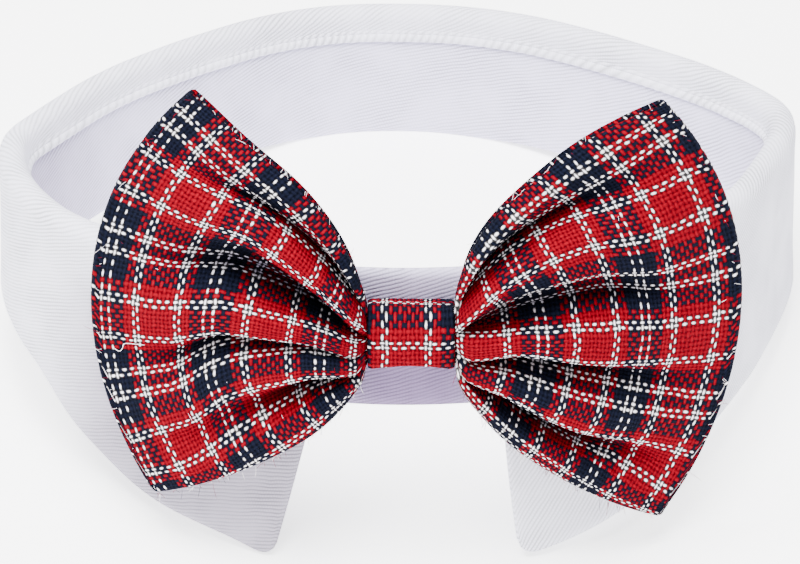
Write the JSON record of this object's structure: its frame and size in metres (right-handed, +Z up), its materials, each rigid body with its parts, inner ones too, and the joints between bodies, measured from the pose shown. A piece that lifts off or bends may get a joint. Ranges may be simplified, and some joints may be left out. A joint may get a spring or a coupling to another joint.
{
  "type": "pet bow tie collar",
  "caption": "Shirt-style collar for a pet, white twill with two rounded points, a plaid bow with gathered loops seated on its front.",
  "frame": {"origin": "centre of the bounding box at the plane that the collar rests on", "axes": "+Z up, the bow faces -Y, +X to the right as one looks at the bow"},
  "size_m": [0.1338, 0.122, 0.0781],
  "materials": {
    "neck_band": "matte twill",
    "collar_leaf": "matte twill",
    "bow_loops": "matte plain weave plaid",
    "bow_knot": "matte plain weave plaid"
  },
  "bodies": {
    "root": {"neck_band": "neck_band", "collar_leaf": "collar_leaf", "bow_loops": "bow_loops", "bow_knot": "bow_knot"}
  },
  "joints": []
}
